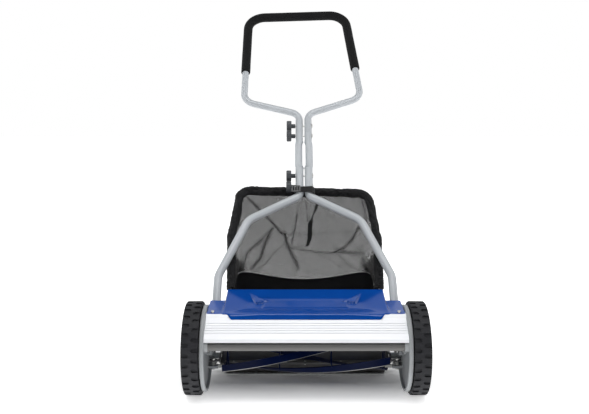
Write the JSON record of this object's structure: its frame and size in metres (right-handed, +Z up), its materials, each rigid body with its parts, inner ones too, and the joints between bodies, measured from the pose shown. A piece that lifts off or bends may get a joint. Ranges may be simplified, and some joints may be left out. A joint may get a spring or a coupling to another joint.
{
  "type": "reel mower",
  "caption": "Push reel mower with helical blades between geared wheels, a ribbed shield, a bolted loop handle with foam grip, and a mesh grass catcher on a wire rim.",
  "frame": {"origin": "middle of the bottom of the bounding box, on the lawn between the wheels and the rear edge of the handle", "axes": "+X to the right as seen from the front of the mower looking back at it, +Y to the rear where the operator walks, +Z up"},
  "size_m": [0.651, 1.0523, 1.1327],
  "materials": {
    "plate_paint": "silver-grey enamel, faintly speckled",
    "shield_aluminium": "bright satin extrusion",
    "blue_enamel": "glossy blue enamel",
    "reel_enamel": "dark blue enamel with a ground edge",
    "handle_enamel": "silver enamel",
    "grey_enamel": "mid-grey enamel",
    "dark_enamel": "charcoal enamel",
    "zinc_steel": "zinc plated",
    "ground_steel": "ground and oiled",
    "tyre_rubber": "black, moulded lugs",
    "wheel_plastic": "black, fine grain",
    "cap_plastic": "black",
    "knob_plastic": "charcoal",
    "nylon": "dark nylon",
    "grip_foam": "closed-cell foam",
    "hem_fabric": "woven binding",
    "tray_fabric": "coated canvas",
    "mesh_fabric": "open mesh",
    "webbing": "grey webbing",
    "black_webbing": "black webbing",
    "buckle_plastic": "grey"
  },
  "bodies": {
    "chassis": {"side_plate_right": "plate_paint", "side_plate_left": "plate_paint", "front_shield": "shield_aluminium", "top_cover": "blue_enamel", "front_tie_tube": "grey_enamel", "rear_tie_rod": "dark_enamel", "shield_screws": "zinc_steel", "cover_screws": "zinc_steel", "tie_tube_bolts": "zinc_steel", "stub_axle_right": "zinc_steel", "stub_axle_left": "zinc_steel", "axle_nuts": "zinc_steel", "reel_bearings": "ground_steel", "handle_pivot_studs": "zinc_steel", "roller_arm_bolts": "zinc_steel", "roller_arm_nuts": "zinc_steel", "knife_pivot_pins": "zinc_steel", "knife_adjusters": "zinc_steel", "adjuster_springs": "zinc_steel"},
    "bed_bar": {"knife_carrier": "dark_enamel", "bed_knife": "ground_steel", "knife_screws": "zinc_steel"},
    "reel": {"reel_shaft": "ground_steel", "reel_blades": "reel_enamel", "reel_spiders": "reel_enamel", "drive_pawls": "ground_steel"},
    "pinion_left": {"pinion_left": "ground_steel"},
    "pinion_right": {"pinion_right": "ground_steel"},
    "wheel_left": {"wheel_left": "wheel_plastic", "tyre_left": "tyre_rubber", "hub_cap_left": "cap_plastic"},
    "wheel_right": {"wheel_right": "wheel_plastic", "tyre_right": "tyre_rubber", "hub_cap_right": "cap_plastic"},
    "roller_frame": {"roller_arms": "dark_enamel", "roller_rod": "zinc_steel"},
    "roller": {"rear_roller": "nylon"},
    "handle": {"lower_leg_right": "handle_enamel", "lower_leg_left": "handle_enamel", "pivot_bushes": "nylon", "leg_plugs": "nylon", "splice_tube_right": "handle_enamel", "splice_tube_left": "handle_enamel", "loop_handle": "handle_enamel", "foam_grip": "grip_foam", "clamp_bolts": "zinc_steel", "catcher_strap": "webbing", "strap_buckle": "buckle_plastic", "strap_tail": "black_webbing"},
    "knob_1": {"clamp_knob_1": "knob_plastic"},
    "knob_2": {"clamp_knob_2": "knob_plastic"},
    "knob_3": {"clamp_knob_3": "knob_plastic"},
    "knob_4": {"clamp_knob_4": "knob_plastic"},
    "catcher": {"catcher_wire": "zinc_steel", "catcher_hem": "hem_fabric", "catcher_tray": "tray_fabric", "catcher_mesh": "mesh_fabric", "pull_strip": "black_webbing"}
  },
  "joints": [
    {"name": "wheel_left_spin", "type": "hinge", "parent": "chassis", "child": "wheel_left", "pos_m": [0, -0.39916, 0.127], "axis": [1, 0, 0], "continuous": true},
    {"name": "wheel_right_spin", "type": "hinge", "parent": "chassis", "child": "wheel_right", "pos_m": [0, -0.39916, 0.127], "axis": [1, 0, 0], "continuous": true},
    {"name": "reel_spin", "type": "hinge", "parent": "chassis", "child": "reel", "pos_m": [0, -0.35416, 0.1103], "axis": [1, 0, 0], "continuous": true},
    {"name": "pinion_left_spin", "type": "hinge", "parent": "chassis", "child": "pinion_left", "pos_m": [0, -0.35416, 0.1103], "axis": [1, 0, 0], "continuous": true},
    {"name": "pinion_right_spin", "type": "hinge", "parent": "chassis", "child": "pinion_right", "pos_m": [0, -0.35416, 0.1103], "axis": [1, 0, 0], "continuous": true},
    {"name": "bed_bar_adjust", "type": "hinge", "parent": "chassis", "child": "bed_bar", "pos_m": [0, -0.31516, 0.075], "axis": [1, 0, 0], "range_deg": [0, 1.5]},
    {"name": "cut_height", "type": "hinge", "parent": "chassis", "child": "roller_frame", "pos_m": [0, -0.29916, 0.12], "axis": [1, 0, 0], "range_deg": [-15, 15]},
    {"name": "roller_spin", "type": "hinge", "parent": "roller_frame", "child": "roller", "pos_m": [0, -0.24116, 0.02], "axis": [1, 0, 0], "continuous": true},
    {"name": "handle_pivot", "type": "hinge", "parent": "chassis", "child": "handle", "pos_m": [0, -0.32956, 0.2163], "axis": [1, 0, 0], "range_deg": [0, 28]},
    {"name": "catcher_lift_off", "type": "slide", "parent": "chassis", "child": "catcher", "axis": [0, 0.866, 0.5], "range_m": [0, 0.15]},
    {"name": "knob_1_turn", "type": "hinge", "parent": "handle", "child": "knob_1", "pos_m": [-0.045, -0.03766, 0.52932], "axis": [-1, 0, 0], "range_deg": [0, 720]},
    {"name": "knob_2_turn", "type": "hinge", "parent": "handle", "child": "knob_2", "pos_m": [-0.045, -0.00765, 0.5615], "axis": [-1, 0, 0], "range_deg": [0, 720]},
    {"name": "knob_3_turn", "type": "hinge", "parent": "handle", "child": "knob_3", "pos_m": [-0.045, 0.10488, 0.68217], "axis": [-1, 0, 0], "range_deg": [0, 720]},
    {"name": "knob_4_turn", "type": "hinge", "parent": "handle", "child": "knob_4", "pos_m": [-0.045, 0.13488, 0.71435], "axis": [-1, 0, 0], "range_deg": [0, 720]}
  ],
  "couplings": [
    {"joint": "reel_spin", "follows": "wheel_left_spin", "ratio": 5},
    {"joint": "pinion_left_spin", "follows": "wheel_left_spin", "ratio": 5},
    {"joint": "pinion_right_spin", "follows": "wheel_right_spin", "ratio": 5}
  ]
}
